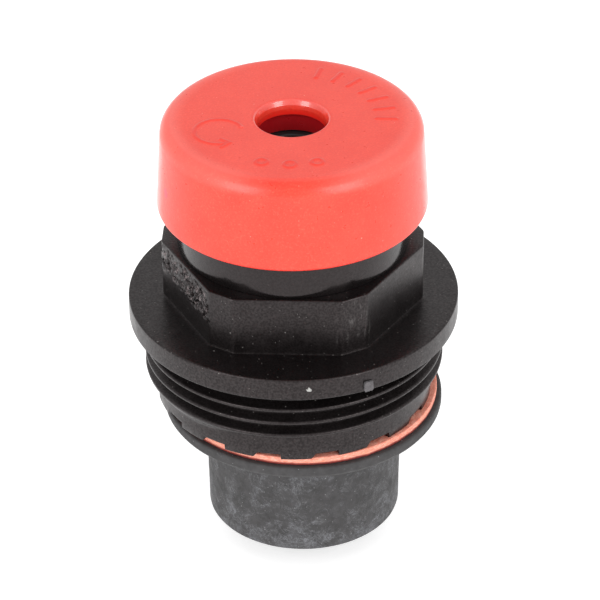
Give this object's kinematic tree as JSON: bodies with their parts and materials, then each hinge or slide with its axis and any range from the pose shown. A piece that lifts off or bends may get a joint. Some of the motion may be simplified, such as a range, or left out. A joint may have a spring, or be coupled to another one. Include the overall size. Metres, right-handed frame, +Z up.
{
  "type": "automatic air vent",
  "caption": "Float-operated air vent: red screw cap with a centre outlet over a black hexagon body with flange, male thread and castellated collar, orange buffer ring and dark grey float.",
  "frame": {"origin": "on the vent's centre line, level with the bottom face of the float", "axes": "+Z up the centre line towards the cap; +X to the right and -Y towards the viewer, with one hexagon flat facing -Y"},
  "size_m": [0.0332, 0.0332, 0.0455],
  "materials": {
    "black_nylon": "satin moulded glass-filled nylon",
    "black_nylon_neck": "semi-gloss moulded nylon",
    "red_plastic": "satin moulded plastic",
    "black_rubber": "smooth moulded rubber",
    "brass": "turned",
    "white_acetal": "moulded acetal",
    "stainless": "stamped stainless steel",
    "spring_steel": "drawn spring steel",
    "float_plastic": "matt moulded plastic with a chalky bloom",
    "orange_fibre": "pressed fibre"
  },
  "bodies": {
    "body": {"housing": "black_nylon", "bonnet": "black_nylon_neck", "bonnet_o_ring": "black_rubber", "neck_o_ring": "black_rubber", "valve_seat": "brass", "lever_bracket": "stainless", "bracket_snap_ring": "spring_steel", "lever_pivot_pin": "stainless", "pivot_pin_clip": "spring_steel", "valve_spring": "spring_steel"},
    "seal_carrier": {"cap_seal": "black_rubber"},
    "cap": {"vent_cap": "red_plastic"},
    "float": {"float_cup": "float_plastic", "float_lid": "float_plastic", "float_ring": "orange_fibre", "float_hanger": "stainless", "hanger_washer": "stainless", "hanger_screw": "stainless", "link_pin": "stainless", "link_pin_clip": "spring_steel"},
    "lever": {"float_lever": "stainless"},
    "valve": {"valve_stem": "white_acetal", "valve_pad": "black_rubber", "stem_pin": "stainless"}
  },
  "joints": [
    {"name": "float_slide", "type": "slide", "parent": "body", "child": "float", "axis": [0, 0, 1], "range_m": [-0.0036, 0]},
    {"name": "lever_pivot", "type": "hinge", "parent": "body", "child": "lever", "pos_m": [-0.003, 0, 0.03026], "axis": [0, 1, 0], "range_deg": [0, 23]},
    {"name": "valve_slide", "type": "slide", "parent": "body", "child": "valve", "axis": [0, 0, 1], "range_m": [-0.00121, 0], "deforming": ["valve_spring"]},
    {"name": "cap_lift", "type": "slide", "parent": "body", "child": "seal_carrier", "axis": [0, 0, 1], "range_m": [0, 0.00251]},
    {"name": "cap_turn", "type": "hinge", "parent": "seal_carrier", "child": "cap", "pos_m": [0, 0, 0.04066], "axis": [0, 0, 1], "range_deg": [0, 450]}
  ],
  "couplings": [
    {"joint": "lever_pivot", "follows": "float_slide", "rad_per_m": -111.11},
    {"joint": "valve_slide", "follows": "float_slide", "ratio": 0.33333},
    {"joint": "cap_lift", "follows": "cap_turn", "m_per_rad": 0.00031831}
  ]
}
